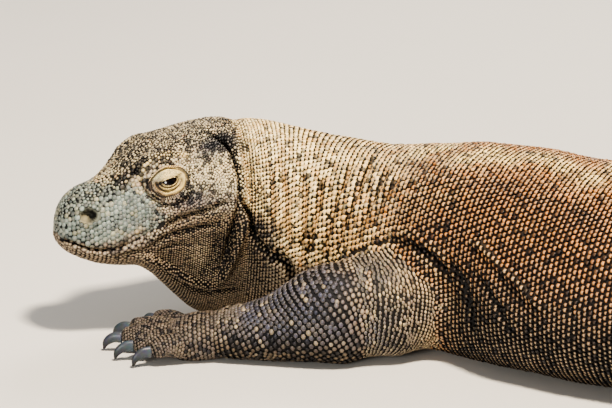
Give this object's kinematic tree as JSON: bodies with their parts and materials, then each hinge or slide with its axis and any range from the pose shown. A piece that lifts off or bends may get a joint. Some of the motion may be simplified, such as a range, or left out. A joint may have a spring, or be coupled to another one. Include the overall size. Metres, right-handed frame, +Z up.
{
  "type": "komodo dragon",
  "caption": "Life-size still model of a resting komodo dragon lying on its belly, head held low, forelegs forward and tail laid out behind.",
  "frame": {"origin": "centre of the footprint box, on the floor that the belly, feet and tail rest on", "axes": "+Z up; +X from the head towards the tail, along the longest extent; -Y is the side that the head turns to, the animal's left"},
  "size_m": [2.4038, 0.742, 0.2155],
  "materials": {
    "hide_head": "grey-green and cream beaded hide, matt",
    "hide_jaw": "dark grey-brown finely scaled hide, matt",
    "hide_neck": "cream to rusty beaded hide, matt",
    "hide_back": "orange-tan beaded hide, matt",
    "hide_tail": "brown keeled hide, matt",
    "hide_leg": "slate-grey hide with cream scale edges, matt",
    "eye": "wet dark brown eye, glossy",
    "claw": "worn slate-grey horn, satin"
  },
  "bodies": {
    "root": {"head": "hide_head", "eye_left": "eye", "eye_right": "eye", "lower_jaw": "hide_jaw", "throat": "hide_jaw", "neck": "hide_neck", "trunk_chest": "hide_back", "trunk_belly": "hide_back", "trunk_hips": "hide_back", "tail_root": "hide_tail", "tail_second": "hide_tail", "tail_third": "hide_tail", "tail_fourth": "hide_tail", "tail_tip": "hide_tail", "fore_left_upper": "hide_leg", "fore_left_lower": "hide_leg", "fore_left_claw_1": "claw", "fore_left_claw_2": "claw", "fore_left_claw_3": "claw", "fore_left_claw_4": "claw", "fore_left_claw_5": "claw", "fore_left_foot": "hide_leg", "fore_right_upper": "hide_leg", "fore_right_lower": "hide_leg", "fore_right_claw_1": "claw", "fore_right_claw_2": "claw", "fore_right_claw_3": "claw", "fore_right_claw_4": "claw", "fore_right_claw_5": "claw", "fore_right_foot": "hide_leg", "hind_left_upper": "hide_leg", "hind_left_lower": "hide_leg", "hind_left_claw_1": "claw", "hind_left_claw_2": "claw", "hind_left_claw_3": "claw", "hind_left_claw_4": "claw", "hind_left_claw_5": "claw", "hind_left_foot": "hide_leg", "hind_right_upper": "hide_leg", "hind_right_lower": "hide_leg", "hind_right_claw_1": "claw", "hind_right_claw_2": "claw", "hind_right_claw_3": "claw", "hind_right_claw_4": "claw", "hind_right_claw_5": "claw", "hind_right_foot": "hide_leg"}
  },
  "joints": []
}
